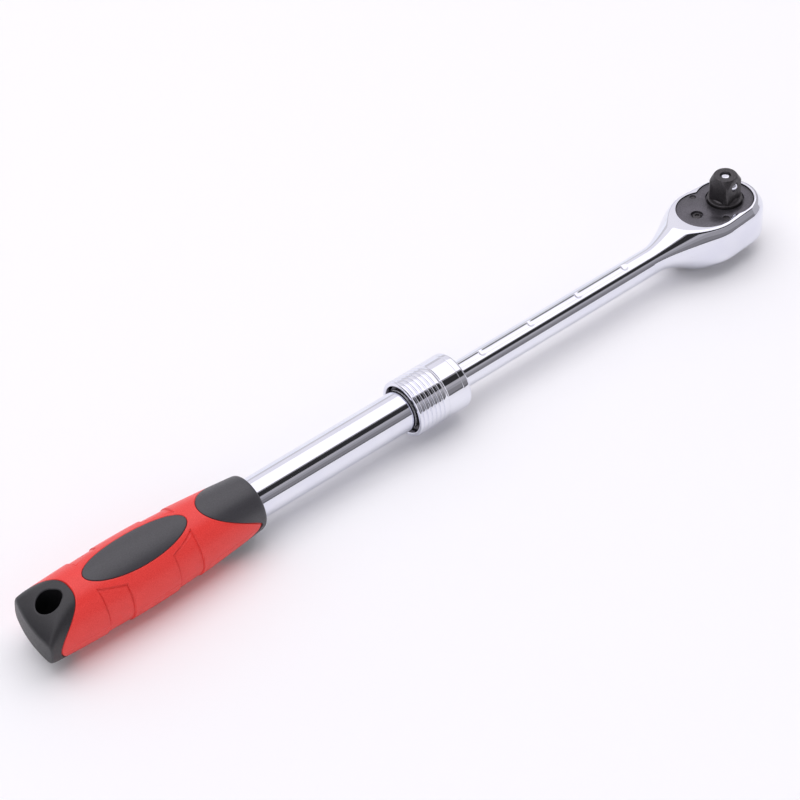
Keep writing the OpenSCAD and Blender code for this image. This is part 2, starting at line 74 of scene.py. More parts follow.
# Each bevel is its inset in plan and its height; each flare is where it starts and ends along the handle
UPPER_BEVEL = (3.3, 4.6)
LOWER_BEVEL = (4.7, 4.8)
SHOULDER_R = 22.5
UPPER_FLARE = (13, 56)
LOWER_FLARE = (14, 53)
BEVEL_ROUND = 1.2
FACE_ROUND = 0.9
CREASE_ANGLE = 32
PLATE_FLOOR = 10.4
PLATE_R = 15.65
LOBE_GAP = 14.7
LOBE_ROUND = 0.5
DRIVE_BORE_R = 8.05
DRIVE_BORE_TOP = 12
SELECTOR_X = 21.4
SELECTOR_BORE_R = 3.5
SELECTOR_BORE_TOP = 3
CUT_REACH = 20
NECK_END = 58
ROD_R = 7.4
ROD_DETAIL_END = 215
ROD_END = 247
LOCK_X = 206.75
LOCK_PITCH = 33
LOCK_COUNT = 5
LOCK_TURN = math.radians(8)
LOCK_START = 60
GROOVE_DEPTH = 0.5
GROOVE_HALF = 1.7
GROOVE_ROUND = 0.12
DIMPLE_R = 3.2
DIMPLE_DEPTH = 0.95

# Collar and tube
MOUTH_X = 226.3
COLLAR_FRONT = 193
COLLAR_R = 15.3
COLLAR_MOUTH_R = 12.95
COLLAR_GUIDE_R = 10.27
BALL_LAND_R = 11.6
BALL_RAISED_R = 12.6
BALL_RAMP_X = 200
RING_CRISP_ANGLE = 40
RIB_PITCH = 2.66
RIB_COUNT = 6
TUBE_R = 10.8
TUBE_LIP_R = 0.7
TUBE_BORE_R = 8.8
TUBE_END = 424

# Grip
GRIP_FRONT = 322.5
GRIP_MID = 395
GRIP_TAIL = 451
GRIP_TAPER_END = 451.5
GRIP_FRONT_R = 14.5
GRIP_MID_R = 19.2
GRIP_TAIL_R = 17.4
GRIP_TURN = math.radians(12)
CAP_HALF_WIDTH = 18.3
CUFF_X = 325
CUFF_REACH = 28.9
CUFF_HALF = 15
PAD_X = 390.8
PAD_REACH = 29.4
PAD_HALF = 10.1
CAP_EDGE_X = 428
CAP_EDGE_BOW = 18
CAP_EDGE_POWER = 2.6
CAP_EDGE_SEARCH = (450, 424)
SEAM = 0.14
EDGE_ROUND = 0.45
CUFF_LIFT = 0.03
PAD_LIFT = 0.04
CORE_R = 12.6
CORE_END = 427
SEAM_DEPTH = 1.2
PANEL_NEAR = 13.2
PANEL_FAR = 27.6
PANEL_NEAR_TOP = 14.4
PANEL_FAR_TOP = 17
PANEL_DEPTH = 0.65
PANEL_EDGE_DEPTH = 0.35
PANEL_EDGE_SOFT = 0.14
PARTING_LINE_DEPTH = 0.12
HOLE_CENTRE = (439.1, -1.0)
HOLE_R = 5.8
HOLE_NOSE_R = 3.9
HOLE_NOSE_REACH = 2.9
HOLE_LEAN = math.radians(-7)
HOLE_RIM = 0.9

# Tail: a curved end face under sloping shoulders, turned about an upright axis
TAIL_CURVE_R = 66.5
TAIL_CENTRE = (GRIP_TAIL - TAIL_CURVE_R, 6.2)
TAIL_FACE_HALF = 6.6
TAIL_SLOPE_RUN = 27
TAIL_SLOPE_TOP = 18.65
TAIL_SLOPE_DROP = TAIL_SLOPE_TOP - TAIL_FACE_HALF
TAIL_SLOPE_R = (TAIL_SLOPE_RUN**2 + TAIL_SLOPE_DROP**2) / (2 * TAIL_SLOPE_DROP)
TAIL_PIVOT_X = 446.0
CAP_CREASE_ANGLE = 50


# ---- Mesh helpers ---------------------------------------------------------------------------------


def to_frame(points, turn=0.0):
    """Points about the handle line, turned about it, into the frame in metres."""
    p = np.asarray(points, float)
    c, s = math.cos(turn), math.sin(turn)
    y = p[..., 1] * c + p[..., 2] * s
    z = p[..., 2] * c - p[..., 1] * s
    return np.stack([p[..., 0], y, z - HANDLE_DROP], axis=-1) * MM


def new_object(name, verts, faces, material, smooth=True):
    mesh = bpy.data.meshes.new(name)
    mesh.from_pydata([tuple(v) for v in verts], [], faces)
    mesh.update()
    mesh.materials.append(material)
    for polygon in mesh.polygons:
        polygon.use_smooth = smooth
    obj = bpy.data.objects.new(name, mesh)
    bpy.context.scene.collection.objects.link(obj)
    return obj


def skin(name, rings, material, turn=0.0, cap_first=True, cap_last=True, closed=False):
    """A closed skin over rings of points; each ring goes once round the handle line."""
    rings = np.asarray(rings, float)
    count, sides = rings.shape[:2]
    verts = to_frame(rings.reshape(-1, 3), turn)
    faces = []
    for i in range(count if closed else count - 1):
        a, b = i * sides, ((i + 1) % count) * sides
        for k in range(sides):
            j = (k + 1) % sides
            faces.append((a + k, a + j, b + j, b + k))
    if cap_first and not closed:
        faces.append(tuple(range(sides - 1, -1, -1)))
    if cap_last and not closed:
        faces.append(tuple((count - 1) * sides + k for k in range(sides)))
    obj = new_object(name, verts, faces, material)
    tidy_normals(obj)
    return obj


def tidy_normals(obj):
    bm = bmesh.new()
    bm.from_mesh(obj.data)
    bmesh.ops.remove_doubles(bm, verts=bm.verts, dist=1e-7)
    bmesh.ops.recalc_face_normals(bm, faces=bm.faces)
    bm.to_mesh(obj.data)
    bm.free()


def revolve(name, outline, material, sides=256):
    """Turns an outline of (distance along, radius) about the handle line into a ring-shaped solid."""
    a = np.linspace(0, 2 * math.pi, sides, endpoint=False)
    rings = [np.stack([np.full(sides, x), r * np.sin(a), r * np.cos(a)], axis=1) for x, r in outline]
    return skin(name, rings, material, closed=True)


def sharp_by_angle(obj, degrees):
    """Keeps edges steeper than this crisp and the rest smooth."""
    bm = bmesh.new()
    bm.from_mesh(obj.data)
    limit = math.radians(degrees)
    for edge in bm.edges:
        edge.smooth = len(edge.link_faces) == 2 and edge.calc_face_angle(0) < limit
    bm.to_mesh(obj.data)
    bm.free()


def cut(obj, cutter):
    """Cuts one closed mesh out of another; the new walls take the cutter's material."""
    modifier = obj.modifiers.new("cut", "BOOLEAN")
    modifier.operation = "DIFFERENCE"
    modifier.solver = "EXACT"
    modifier.material_mode = "TRANSFER"
    modifier.object = cutter
    bpy.context.view_layer.update()
    done = bpy.data.meshes.new_from_object(obj.evaluated_get(bpy.context.evaluated_depsgraph_get()))
    obj.modifiers.clear()
    obj.data = done
    bpy.data.objects.remove(cutter)


def prism(name, outline, z0, z1, material, turn=0.0):
    """A plain closed prism between two heights, from an outline in plan."""
    count = len(outline)
    verts = [(x, y, z) for z in (z0, z1) for x, y in outline]
    faces = [tuple(range(count - 1, -1, -1)), tuple(range(count, 2 * count))]
    for k in range(count):
        j = (k + 1) % count
        faces.append((k, j, count + j, count + k))
    obj = new_object(name, to_frame(verts, turn), faces, material, smooth=False)
    tidy_normals(obj)
    return obj


def circle(x, y, r, sides=96):
    a = np.linspace(0, 2 * math.pi, sides, endpoint=False)
    return [(x + r * math.cos(t), y + r * math.sin(t)) for t in a]


def ease(x, a, b):
    """1 before a, 0 after b, smooth between."""
    return 0.5 + 0.5 * np.cos(np.pi * np.clip((x - a) / (b - a), 0, 1))


def step(value, low, high):
    t = np.clip((value - low) / (high - low), 0, 1)
    return t * t * (3 - 2 * t)


def smooth_max(a, b, k):
    h = np.maximum(k - np.abs(a - b), 0) / k
    return np.maximum(a, b) + h * h * k / 4


def cast(origins, directions, field, reach):
    """Distance along each ray to where the field turns positive."""
    low = np.zeros(origins.shape[:-1])
    high = np.full(origins.shape[:-1], float(reach))
    for _ in range(CAST_HALVINGS):
        middle = (low + high) / 2
        inside = field(origins + directions * middle[..., None]) < 0
        low = np.where(inside, middle, low)
        high = np.where(inside, high, middle)
    return (low + high) / 2


# ---- Materials ------------------------------------------------------------------------------------


def new_material(name, colour, roughness, metallic=0.0):
    material = bpy.data.materials.new(name)
    material.use_nodes = True
    shader = material.node_tree.nodes["Principled BSDF"]
    shader.inputs["Base Color"].default_value = (*colour, 1)
    shader.inputs["Roughness"].default_value = roughness
    shader.inputs["Metallic"].default_value = metallic
    return material, material.node_tree, shader


def noise(tree, scale, detail, roughness=0.5):
    where = tree.nodes.new("ShaderNodeTexCoord")
    texture = tree.nodes.new("ShaderNodeTexNoise")
    texture.inputs["Scale"].default_value = scale
    texture.inputs["Detail"].default_value = detail
    texture.inputs["Roughness"].default_value = roughness
    tree.links.new(where.outputs["Object"], texture.inputs["Vector"])
    return texture.outputs["Fac"]


def spread(tree, value, low, high):
    """Maps the middle of a noise's range onto low to high."""
    node = tree.nodes.new("ShaderNodeMapRange")
    node.inputs["From Min"].default_value = 0.3
    node.inputs["From Max"].default_value = 0.7
    node.inputs["To Min"].default_value = low
    node.inputs["To Max"].default_value = high
    tree.links.new(value, node.inputs["Value"])
    return node.outputs["Result"]


def mottle(tree, shader, value, dark, light):
    ramp = tree.nodes.new("ShaderNodeValToRGB")
    ramp.color_ramp.elements[0].position = 0.35
    ramp.color_ramp.elements[0].color = (*dark, 1)
    ramp.color_ramp.elements[1].position = 0.65
    ramp.color_ramp.elements[1].color = (*light, 1)
    tree.links.new(value, ramp.inputs["Fac"])
    tree.links.new(ramp.outputs["Color"], shader.inputs["Base Color"])


def bump(tree, shader, value, depth_mm, strength=1.0):
    node = tree.nodes.new("ShaderNodeBump")
    node.inputs["Distance"].default_value = depth_mm * MM
    node.inputs["Strength"].default_value = strength
    tree.links.new(value, node.inputs["Height"])
    tree.links.new(node.outputs["Normal"], shader.inputs["Normal"])


def chrome_plate():
    material, tree, shader = new_material("chrome plate", (0.8, 0.81, 0.88), 0.05, 1)
    tree.links.new(spread(tree, noise(tree, 90, 4), 0.035, 0.075), shader.inputs["Roughness"])
    mottle(tree, shader, noise(tree, 40, 3), (0.78, 0.79, 0.87), (0.83, 0.84, 0.9))
    bump(tree, shader, noise(tree, 220, 2), 0.006, 0.35)
    return material


def black_phosphate(name, dark, light):
    material, tree, shader = new_material(name, dark, 0.34, 0.85)
    tree.links.new(spread(tree, noise(tree, 900, 5), 0.28, 0.42), shader.inputs["Roughness"])
    mottle(tree, shader, noise(tree, 1500, 4), dark, light)
    bump(tree, shader, noise(tree, 2600, 4), 0.02, 0.5)
    return material


def ground_steel():
    material, tree, shader = new_material("ground steel", (0.45, 0.45, 0.46), 0.3, 1)
    tree.links.new(spread(tree, noise(tree, 1200, 3), 0.22, 0.4), shader.inputs["Roughness"])
    bump(tree, shader, noise(tree, 1800, 2), 0.008, 0.4)
    return material


def bearing_bronze():
    material, tree, shader = new_material("bearing bronze", (0.55, 0.36, 0.14), 0.32, 1)
    tree.links.new(spread(tree, noise(tree, 900, 3), 0.25, 0.4), shader.inputs["Roughness"])
    return material


def red_moulding():
    material, tree, shader = new_material("red moulding", (0.72, 0.025, 0.02), 0.36)
    mottle(tree, shader, noise(tree, 2200, 3, 0.7), (0.75, 0.028, 0.022), (0.86, 0.055, 0.046))
    tree.links.new(spread(tree, noise(tree, 1500, 3), 0.3, 0.44), shader.inputs["Roughness"])
    bump(tree, shader, noise(tree, 2400, 3, 0.6), 0.05, 0.45)
    return material


def soft_black(name, dark, light, sheen):
    material, tree, shader = new_material(name, dark, 0.42)
    shader.inputs["Specular IOR Level"].default_value = sheen
    mottle(tree, shader, noise(tree, 1800, 4), dark, light)
    tree.links.new(spread(tree, noise(tree, 1200, 3), 0.38, 0.52), shader.inputs["Roughness"])
    bump(tree, shader, noise(tree, 2000, 4, 0.6), 0.05, 0.4)
    return material


def hard_black():
    material, tree, shader = new_material("hard black moulding", (0.025, 0.024, 0.027), 0.45)
    bump(tree, shader, noise(tree, 1500, 3), 0.03, 0.3)
    return material


# Near-black with almost no shine: painted shade for the walls of the hang hole and the plate pocket, in place
# of the shade that falls in them.
def painted_shade_black():
    material, tree, shader = new_material("painted shade hole wall", (0.006, 0.006, 0.007), 0.8)
    shader.inputs["Specular IOR Level"].default_value = 0.1
    bump(tree, shader, noise(tree, 1500, 3), 0.03, 0.3)
    return material


CHROME = chrome_plate()
PAINTED_SHADE_WALL = painted_shade_black()
BLACK = black_phosphate("black phosphate", (0.06, 0.057, 0.06), (0.095, 0.09, 0.095))
# A lighter copy of the black phosphate for the cover plate: painted light, for its upper face lit from above.
PLATE = black_phosphate("black phosphate painted lighter for lit plate", (0.1, 0.096, 0.108), (0.15, 0.144, 0.16))
STEEL = ground_steel()
BRONZE = bearing_bronze()
RED = red_moulding()
SOFT = soft_black("soft black moulding", (0.014, 0.0135, 0.018), (0.025, 0.024, 0.031), 1.0)
# A darker copy of the soft black for the tail cap: painted shade, as the cap faces away from the light.
TAIL = soft_black("tail moulding painted darker for shade", (0.007, 0.0068, 0.0085), (0.013, 0.0125, 0.016), 0.75)
HARD = hard_black()
SLOT_MATERIALS = {
    "chrome": CHROME,
    "black_oxide": BLACK,
    "plain_steel": STEEL,
    "brass": BRONZE,
    "red_plastic": RED,
    "hard_black_plastic": HARD,
    "soft_black": SOFT,
}


# ---- Head, neck and rod ---------------------------------------------------------------------------


def head_plan(x, y):
    """Distance outside the head's rounded outline in plan, for its part away from the neck."""
    along, length = x - HEAD_END_X, HEAD_WIDE_X - HEAD_END_X
    sine = (HEAD_END_R - HEAD_R) / length
    cosine = math.sqrt(1 - sine * sine)
    place = along * cosine - y * sine
    flank = y * cosine + along * sine - HEAD_END_R
    end = np.hypot(along, y) - HEAD_END_R
    wide = np.hypot(along - length, y) - HEAD_R
    return np.where(place < 0, end, np.where(place > cosine * length, wide, flank))


def forging_field(p):
    """Negative inside the forging: an outline in plan, flat faces, bevels and a round flare."""
    x, y, z = p[..., 0], np.abs(p[..., 1]), p[..., 2]
    half_width = ROD_R + (HEAD_R - ROD_R) * ease(x, HEAD_WIDE_X, UPPER_FLARE[1])
    plan = np.where(x < HEAD_WIDE_X, head_plan(x, y), y - half_width)
    flat = np.abs(z) - HEAD_HALF

    def edge(height, inset, run):
        return (plan * run + (height - HEAD_HALF + run) * inset) / math.hypot(run, inset)

    bevel = np.where(z > 0, edge(z, *UPPER_BEVEL), edge(-z, *LOWER_BEVEL))
    spread_here = np.where(z > 0, ease(x, *UPPER_FLARE), ease(x, *LOWER_FLARE))
    flare = np.hypot(y, z) - (ROD_R + (SHOULDER_R - ROD_R) * spread_here)
    body = smooth_max(smooth_max(plan, bevel, BEVEL_ROUND), flat, FACE_ROUND)
    return np.where(x > NECK_END, np.hypot(y, z) - ROD_R, smooth_max(body, flare, FACE_ROUND))


def lock_track(x, angle):
    """Depth of the groove and its round dimples below the rod's surface."""
    side = ROD_R * np.abs(np.angle(np.exp(1j * (angle - LOCK_TURN))))
    first = LOCK_X - LOCK_PITCH * (LOCK_COUNT - 1)
    groove = GROOVE_DEPTH * (1 - step(side, GROOVE_HALF - 0.45, GROOVE_HALF + 0.1))
    groove = groove * step(x, first - 0.8, first + 0.4)
    groove = groove * (1 - step(x, LOCK_X + 4, LOCK_X + 5))
    nearest = LOCK_X - LOCK_PITCH * np.clip(np.round((LOCK_X - x) / LOCK_PITCH), 0, LOCK_COUNT - 1)
    away = np.hypot(x - nearest, side)
    ball = np.sqrt(np.maximum(DIMPLE_R**2 - away**2, 0)) - (DIMPLE_R - DIMPLE_DEPTH)
    return smooth_max(groove, ball, GROOVE_ROUND)


def forging():
    sides = 256
    a = np.linspace(0, 2 * math.pi, sides, endpoint=False)
    round_the_end = np.linspace(-math.pi / 2 + 0.004, 0, 60, endpoint=False)
    stations = np.concatenate([np.linspace(0, NECK_END, 120, endpoint=False),
                               np.linspace(NECK_END, ROD_DETAIL_END, 560, endpoint=False),
                               np.linspace(ROD_DETAIL_END, ROD_END, 12)])
    rows = [(0.0, b) for b in round_the_end] + [(x, 0.0) for x in stations]
    start = np.array([[[x, 0, 0]] * sides for x, _ in rows], float)
    way = np.array([[[math.sin(b), math.cos(b) * math.sin(t), math.cos(b) * math.cos(t)] for t in a]
                    for _, b in rows])
    reach = cast(start, way, forging_field, NEAR_SEARCH)
    points = start + way * reach[..., None]
    depth = lock_track(points[..., 0], a[None, :])
    depth = np.where(points[..., 0] > LOCK_START, depth, 0)
    points -= way * depth[..., None]
    obj = skin("forged_head_and_rod", points, CHROME)
    lobes = two_lobe_outline(PLATE_R)
    drive_bore = circle(0, 0, DRIVE_BORE_R)
    selector_bore = circle(SELECTOR_X, 0, SELECTOR_BORE_R, 64)
    # The pocket's new walls take the painted shade black.
    cut(obj, prism("cut_plate", lobes, PLATE_FLOOR, CUT_REACH, PAINTED_SHADE_WALL))
    cut(obj, prism("cut_bore", drive_bore, -CUT_REACH, DRIVE_BORE_TOP, BLACK))
    cut(obj, prism("cut_selector", selector_bore, -CUT_REACH, SELECTOR_BORE_TOP, BLACK))
    sharp_by_angle(obj, CREASE_ANGLE)
    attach(obj, "head")
    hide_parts("head_and_rod")


def two_lobe_outline(r, count=360):
    """Outline of two overlapping circles with softly rounded inner corners."""
    points = []
    for t in np.linspace(0, 2 * math.pi, count, endpoint=False):
        way = np.array([math.cos(t), math.sin(t)])

        def field(p):
            d1 = np.hypot(p[..., 0], p[..., 1]) - r
            d2 = np.hypot(p[..., 0] - LOBE_GAP, p[..., 1]) - r
            return -smooth_max(-d1, -d2, LOBE_ROUND)

        centre = np.array([[LOBE_GAP / 2, 0.0]])
        d = cast(centre, way[None, :], field, FAR_SEARCH)[0]
        points.append(tuple(centre[0] + way * d))
    return points


# ---- Collar and tube ------------------------------------------------------------------------------


def arc(cx, cr, radius, start, end, count=8):
    """Points on an arc in the (along, radius) plane; angles in degrees from the handle's direction."""
    return [(cx + radius * math.cos(math.radians(t)), cr + radius * math.sin(math.radians(t)))
            for t in np.linspace(start, end, count)]


def rib_groove(x, top):
    """One groove between ribs, as an outline from its back lip to its front lip."""
    lips = [(0.9, 0.0), (0.72, 0.02), (0.5, 0.12), (0.3, 0.36)]
    back = [(x + away, top - down) for away, down in lips]
    front = [(x - away, top - down) for away, down in reversed(lips)]
    return back + arc(x, top - 0.36, 0.3, 0, -180, 7)[1:-1] + front


def locking_collar():
    rib_r = COLLAR_R - 0.05
    outline = [(MOUTH_X - 2, COLLAR_MOUTH_R)]
    outline += arc(MOUTH_X - 0.5, 13.45, 0.5, -90, 0, 5)
    outline += arc(MOUTH_X - 1.1, rib_r - 1.1, 1.1, 0, 90, 10)
    for i in range(RIB_COUNT):
        outline += rib_groove(MOUTH_X - 1.9 - RIB_PITCH * i, rib_r)
    band = LOCK_X + 1.2
    outline += [(band, rib_r), (band - 0.12, rib_r - 0.1), (band - 0.25, rib_r - 0.3),
                (band - 0.55, rib_r - 0.3), (band - 0.7, rib_r - 0.1), (band - 0.85, COLLAR_R),
                (band - 0.95, COLLAR_R)]
    line = COLLAR_FRONT + 4.1
    outline += [(line + 0.45, COLLAR_R), (line + 0.35, COLLAR_R), (line + 0.15, COLLAR_R - 0.16),
                (line - 0.15, COLLAR_R - 0.16), (line - 0.35, COLLAR_R - 0.02),
                (line - 0.45, COLLAR_R - 0.01)]
    outline += arc(COLLAR_FRONT + 1.6, COLLAR_R - 1.6, 1.6, 90, 175, 14)
    outline += [(COLLAR_FRONT + 0.02, 12.3), (COLLAR_FRONT + 2.1, 12.2),
                (COLLAR_FRONT + 2.1, COLLAR_GUIDE_R), (COLLAR_FRONT + 4.2, COLLAR_GUIDE_R),
                (COLLAR_FRONT + 4.2, BALL_RAISED_R),
                (BALL_RAMP_X, BALL_RAISED_R), (LOCK_X, BALL_LAND_R), (LOCK_X + 3.9, BALL_LAND_R),
                (LOCK_X + 3.9, COLLAR_GUIDE_R), (COLLAR_FRONT + 19, COLLAR_GUIDE_R),
                (COLLAR_FRONT + 19, COLLAR_MOUTH_R)]
    obj = revolve("ribbed_collar", outline, CHROME)
    sharp_by_angle(obj, RING_CRISP_ANGLE)
    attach(obj, "collar")
    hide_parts("locking_collar")


def outer_tube():
    outline = [(MOUTH_X, TUBE_BORE_R), (MOUTH_X, TUBE_R - 0.8)]
    outline += arc(MOUTH_X + TUBE_LIP_R, TUBE_R - TUBE_LIP_R, TUBE_LIP_R, 180, 90, 7)
    outline += [(x, TUBE_R) for x in np.linspace(MOUTH_X + 2, TUBE_END, 60)]
    outline += [(TUBE_END, TUBE_BORE_R)]
    outline += [(x, TUBE_BORE_R) for x in np.linspace(TUBE_END - 3, MOUTH_X + 3, 20)]
    obj = revolve("drawn_tube", outline, CHROME, 192)
    sharp_by_angle(obj, RING_CRISP_ANGLE)
    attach(obj, "handle")
    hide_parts("outer_tube")


# ---- Grip -----------------------------------------------------------------------------------------


def grip_radius(x):
    rise = np.sin(np.pi / 2 * (x - GRIP_FRONT) / (GRIP_MID - GRIP_FRONT))
    front = GRIP_FRONT_R + (GRIP_MID_R - GRIP_FRONT_R) * rise
    back = GRIP_MID_R - (GRIP_MID_R - GRIP_TAIL_R) * (
        1 - np.cos(np.pi / 2 * np.clip((x - GRIP_MID) / (GRIP_TAPER_END - GRIP_MID), 0, 1)))
    return np.where(x < GRIP_MID, front, back)


def ellipse_gap(x, y, centre, reach, half):
    """Roughly the distance outside an ellipse in plan, in millimetres; negative inside."""
    u, v = (x - centre) / reach, y / half
    size = np.sqrt(u * u + v * v) + 1e-9
    slope = np.hypot(u / reach, v / half) / size + 1e-9
    return (size - 1) / slope


def cuff_gap(x, y):
    return ellipse_gap(x, y, CUFF_X, CUFF_REACH, CUFF_HALF)


def pad_gap(x, y):
    return ellipse_gap(x, y, PAD_X, PAD_REACH, PAD_HALF)


def cap_gap(x, y):
    side = np.abs(y) / CAP_HALF_WIDTH
    edge = CAP_EDGE_X + CAP_EDGE_BOW * side**CAP_EDGE_POWER
    slope = np.hypot(1, CAP_EDGE_POWER * CAP_EDGE_BOW * side ** (CAP_EDGE_POWER - 1) / CAP_HALF_WIDTH)
    return (edge - x) / slope


def panel_gap(x, z):
    """Distance outside the two recessed side panels, in the side view of the grip."""
    across = np.abs(x - PAD_X)
    top = PANEL_NEAR_TOP + (across - PANEL_NEAR) * (PANEL_FAR_TOP - PANEL_NEAR_TOP) / (PANEL_FAR - PANEL_NEAR)
    return np.maximum(np.maximum(PANEL_NEAR - across, across - PANEL_FAR), np.abs(z) - top)


def edge_on_grip(gap, angle, inside, outside):
    """Where along the grip a black piece's edge crosses each angle."""
    low, high = np.full(angle.shape, float(inside)), np.full(angle.shape, float(outside))
    for _ in range(EDGE_HALVINGS):
        middle = (low + high) / 2
        within = gap(middle, grip_radius(middle) * np.sin(angle)) < -SEAM
        low, high = np.where(within, middle, low), np.where(within, high, middle)
    return low


def red_body():
    sides = 640
    a = np.linspace(0, 2 * math.pi, sides, endpoint=False)
    end = edge_on_grip(cap_gap, a, *CAP_EDGE_SEARCH) + 2
    x = GRIP_FRONT + 1 + (end - GRIP_FRONT - 1) * np.linspace(0, 1, 600)[:, None]
    r = grip_radius(x)
    y, z = r * np.sin(a), r * np.cos(a)
    black = np.minimum(np.minimum(cuff_gap(x, y), pad_gap(x, y)), cap_gap(x, y))
    sunk = SEAM_DEPTH * (1 - step(black, -0.25, 0.15))
    panel = panel_gap(x, z)
    within = 1 - step(panel, -PANEL_EDGE_SOFT, PANEL_EDGE_SOFT)
    outline = PANEL_EDGE_DEPTH * step(panel, -0.75, -0.45) * within
    recess = PANEL_DEPTH * within + outline
    line = PARTING_LINE_DEPTH * (1 - step(np.abs(z), 0.05, 0.28))
    r = r - sunk - np.maximum(recess, line)
    x = np.vstack([x, end, np.full(sides, CORE_END - 0.5), np.full(sides, GRIP_FRONT + 1)])
    r = np.vstack([r, np.full((3, sides), CORE_R + 0.1)])
    rings = np.stack([x, r * np.sin(a), r * np.cos(a)], axis=-1)
    obj = skin("red_grip", rings, RED, GRIP_TURN, closed=True)
    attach(obj, "handle")
    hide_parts("grip_body")


def front_cuff():
    a = np.linspace(0, 2 * math.pi, 480, endpoint=False)
    edge = edge_on_grip(cuff_gap, a, CUFF_X, 356)
    rows = []
    mouth = [(GRIP_FRONT + 1.5, TUBE_R + 0.1), (GRIP_FRONT + 0.5, TUBE_R + 0.12),
             (GRIP_FRONT + 0.15, TUBE_R + 0.5)]
    for x, r in mouth:
        rows.append((np.full_like(a, x), np.full_like(a, r)))
    for t in np.linspace(0, math.pi / 2, 8):
        x = GRIP_FRONT + 1.7 - 1.7 * math.cos(t)
        rows.append((np.full_like(a, x), np.full_like(a, GRIP_FRONT_R - 1.8 + 1.9 * math.sin(t))))
    start = GRIP_FRONT + 1.75
    for s in np.linspace(0, 1, 60)[1:]:
        x = start + (edge - EDGE_ROUND - start) * s
        rows.append((x, grip_radius(x) + CUFF_LIFT))
    for t in np.linspace(0, math.pi / 2, 6)[1:]:
        x = edge - EDGE_ROUND + EDGE_ROUND * math.sin(t)
        rows.append((x, grip_radius(x) + CUFF_LIFT - EDGE_ROUND * (1 - math.cos(t))))
    rows.append((edge, grip_radius(edge) - SEAM_DEPTH - 0.3))
    points = [np.stack([x, r * np.sin(a), r * np.cos(a)], axis=1) for x, r in rows]
    obj = skin("soft_front", points, SOFT, GRIP_TURN, cap_first=False, cap_last=False)
    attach(obj, "handle")
    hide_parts("front_cuff")


def oval_pad(name, node, side):
    a = np.linspace(0, 2 * math.pi, 320, endpoint=False)
    rows = []
    for s in np.linspace(0.001, 1, 40):
        shrink = SEAM + EDGE_ROUND
        x = PAD_X + (PAD_REACH - shrink) * s * np.cos(a)
        y = (PAD_HALF - shrink) * s * np.sin(a)
        rows.append((x, y, np.zeros_like(a)))
    for t in np.linspace(0, math.pi / 2, 6)[1:]:
        shrink = SEAM + EDGE_ROUND * (1 - math.sin(t))
        x = PAD_X + (PAD_REACH - shrink) * np.cos(a)
        y = (PAD_HALF - shrink) * np.sin(a)
        rows.append((x, y, np.full_like(a, EDGE_ROUND * (1 - math.cos(t)))))
    rows.append((*rows[-1][:2], np.full_like(a, SEAM_DEPTH + 0.4)))
    points = []
    for x, y, depth in rows:
        r = grip_radius(x) + PAD_LIFT - depth
        z = np.sqrt(np.maximum(grip_radius(x) ** 2 - y * y, 0))
        angle = np.arctan2(y, z)
        points.append(np.stack([x, r * np.sin(angle), side * r * np.cos(angle)], axis=1))
    obj = skin(name, points, SOFT, GRIP_TURN)
    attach(obj, "handle")
    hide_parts(node)


def tail_slope(x, y):
    """Height of the sloping shoulder above a point in plan."""
    out = np.hypot(x - TAIL_CENTRE[0], y - TAIL_CENTRE[1]) - (TAIL_CURVE_R - TAIL_SLOPE_RUN)
    drop = TAIL_SLOPE_R - np.sqrt(np.maximum(TAIL_SLOPE_R**2 - np.maximum(out, 0) ** 2, 0))
    return TAIL_SLOPE_TOP - drop


def cap_field(p):
    x, y, z = p[..., 0], p[..., 1], p[..., 2]
    side = np.hypot(y, z) - grip_radius(x)
    out = np.hypot(x - TAIL_CENTRE[0], y - TAIL_CENTRE[1])
    face = out - TAIL_CURVE_R
    from_start = np.maximum(out - TAIL_CURVE_R + TAIL_SLOPE_RUN, 0)
    slope = np.hypot(from_start, np.abs(z) + TAIL_SLOPE_R - TAIL_SLOPE_TOP) - TAIL_SLOPE_R
    return smooth_max(smooth_max(side, slope, 2.0), face, 1.0)


def hole_outline(grow, count=24):
    """Outline of the hang hole, grown all round: a wide arc, a small arc and the straights between."""
    lean = math.acos((HOLE_R - HOLE_NOSE_R) / HOLE_NOSE_REACH)
    wide = [((HOLE_R + grow) * math.cos(t), (HOLE_R + grow) * math.sin(t))
            for t in np.linspace(lean - math.pi, math.pi - lean, 2 * count)]
    nose = [((HOLE_NOSE_R + grow) * math.cos(t) - HOLE_NOSE_REACH, (HOLE_NOSE_R + grow) * math.sin(t))
            for t in np.linspace(math.pi - lean, math.pi + lean, count)]
    c, s = math.cos(HOLE_LEAN), math.sin(HOLE_LEAN)
    x, y = HOLE_CENTRE
    return np.array([(x + c * u - s * v, y + s * u + c * v) for u, v in wide + nose])


def hole_cutter():
    """The hole's own shape, flared where it meets the surface so that the rim comes out round."""
    levels = [(1.5, HOLE_RIM + 1.5)]
    for d in np.linspace(0.0, HOLE_RIM, 8):
        levels.append((-d, HOLE_RIM - math.sqrt(max(HOLE_RIM**2 - (HOLE_RIM - d) ** 2, 0))))
    levels.append((-3.0, 0.0))
    rows = []
    for side in (1, -1):
        part = []
        for height, grow in levels:
            outline = hole_outline(grow)
            x, y = outline[:, 0], outline[:, 1]
            surface = np.minimum(np.sqrt(grip_radius(x) ** 2 - y**2), tail_slope(x, y))
            part.append(np.stack([x, y, side * (surface + height)], axis=1))
        rows += part if side == 1 else part[::-1]
    cutter = skin("cut_hole", np.array(rows), TAIL, GRIP_TURN)
    # The hole's steep walls take the painted shade black; the rest of the cut takes the tail cap's darker
    # copy of the soft black.
    cutter.data.materials.append(PAINTED_SHADE_WALL)
    steep = math.cos(math.radians(80))
    foot, top = (Vector(p) for p in to_frame(np.array([[0.0, 0, 0], [0, 0, 1]]), GRIP_TURN))
    hole_axis = (top - foot).normalized()
    for polygon in cutter.data.polygons:
        polygon.material_index = int(abs(polygon.normal.dot(hole_axis)) < steep)
    return cutter


